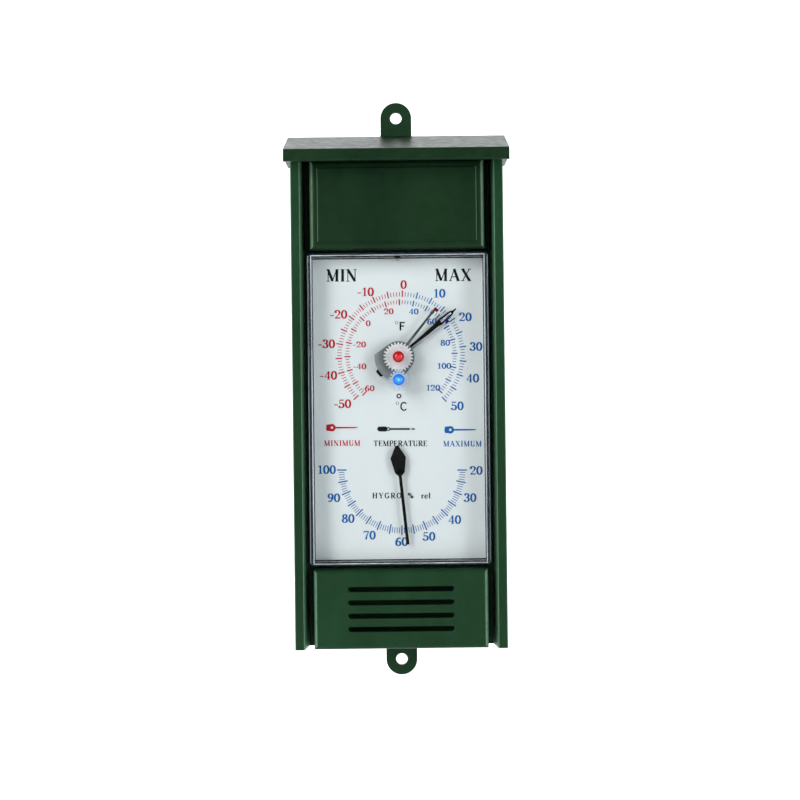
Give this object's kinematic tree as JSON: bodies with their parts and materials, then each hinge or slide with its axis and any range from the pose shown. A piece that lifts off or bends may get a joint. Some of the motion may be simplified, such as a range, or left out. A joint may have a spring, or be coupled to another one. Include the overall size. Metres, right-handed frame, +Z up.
{
  "type": "maximum minimum thermometer",
  "caption": "Wall-mounted dial thermometer with separate minimum and maximum hands, reset knobs and a humidity dial, in a hooded green case with a clear lens.",
  "frame": {"origin": "midway between the two wall screw holes, on the plane that lies against the wall", "axes": "+X to the right and +Z up as the reader sees the dial; +Y into the wall, so the dial faces -Y"},
  "size_m": [0.084, 0.0411, 0.222],
  "materials": {
    "case_green": "fine satin moulded plastic",
    "hood_green": "fine satin moulded plastic",
    "cover_green": "satin moulded plastic",
    "clear": "clear polished plastic",
    "dial_white": "printed semi-matt white",
    "pointer_black": "black lacquered sheet",
    "hand_grey": "grey lacquered sheet with a coloured tip",
    "brass": "turned and stamped brass",
    "steel": "bright steel",
    "bimetal": "rolled two-layer strip",
    "gear_natural": "natural translucent acetal",
    "knob_red": "translucent red plastic",
    "knob_blue": "translucent blue plastic"
  },
  "bodies": {
    "case": {"case_body": "case_green", "rain_hood": "hood_green", "rear_cover": "cover_green", "cover_screws": "steel", "lens": "clear", "dial_plate": "dial_white", "dial_peg": "steel", "temperature_bridge": "brass", "temperature_bridge_screws": "steel", "temperature_bush": "brass", "humidity_bridge": "brass", "humidity_bridge_screws": "steel", "humidity_bush": "brass"},
    "temperature_adjuster": {"temperature_regulator": "brass", "temperature_coil": "bimetal"},
    "temperature_indicator": {"temperature_arbor": "steel", "temperature_pointer": "pointer_black"},
    "humidity_adjuster": {"humidity_regulator": "brass", "humidity_coil": "bimetal"},
    "humidity_indicator": {"humidity_arbor": "steel", "humidity_pointer": "pointer_black"},
    "minimum_marker": {"minimum_hand": "hand_grey", "minimum_spindle": "steel", "minimum_knob": "knob_red"},
    "maximum_marker": {"maximum_hand": "hand_grey", "reset_gear": "gear_natural", "minimum_washer": "gear_natural"},
    "maximum_reset": {"maximum_spindle": "steel", "reset_pinion": "gear_natural", "maximum_knob": "knob_blue", "maximum_washer": "gear_natural"}
  },
  "joints": [
    {"name": "temperature_adjust", "type": "hinge", "parent": "case", "child": "temperature_adjuster", "pos_m": [0, -0.02, 0.0119], "axis": [0, 1, 0], "range_deg": [-15, 15]},
    {"name": "temperature_hand", "type": "hinge", "parent": "temperature_adjuster", "child": "temperature_indicator", "pos_m": [0, -0.02, 0.0119], "axis": [0, 1, 0], "range_deg": [-185.5, 84.5], "stiffness_Nm_per_rad": 0.00002, "deforming": ["temperature_coil"]},
    {"name": "humidity_adjust", "type": "hinge", "parent": "case", "child": "humidity_adjuster", "pos_m": [0, -0.02, -0.0318], "axis": [0, 1, 0], "range_deg": [-15, 15]},
    {"name": "humidity_hand", "type": "hinge", "parent": "humidity_adjuster", "child": "humidity_indicator", "pos_m": [0, -0.02, -0.0318], "axis": [0, 1, 0], "range_deg": [-84.2, 95.8], "stiffness_Nm_per_rad": 0.00002, "deforming": ["humidity_coil"]},
    {"name": "minimum_hand", "type": "hinge", "parent": "case", "child": "minimum_marker", "pos_m": [0, -0.02, 0.0119], "axis": [0, 1, 0], "range_deg": [-172.8, 97.2]},
    {"name": "maximum_hand", "type": "hinge", "parent": "case", "child": "maximum_marker", "pos_m": [0, -0.02, 0.0119], "axis": [0, 1, 0], "range_deg": [-189.9, 80.1]},
    {"name": "maximum_reset_knob", "type": "hinge", "parent": "case", "child": "maximum_reset", "pos_m": [0, -0.02, 0.00329], "axis": [0, 1, 0], "range_deg": [-131, 309]}
  ],
  "couplings": [
    {"joint": "maximum_reset_knob", "follows": "maximum_hand", "ratio": -1.625}
  ]
}
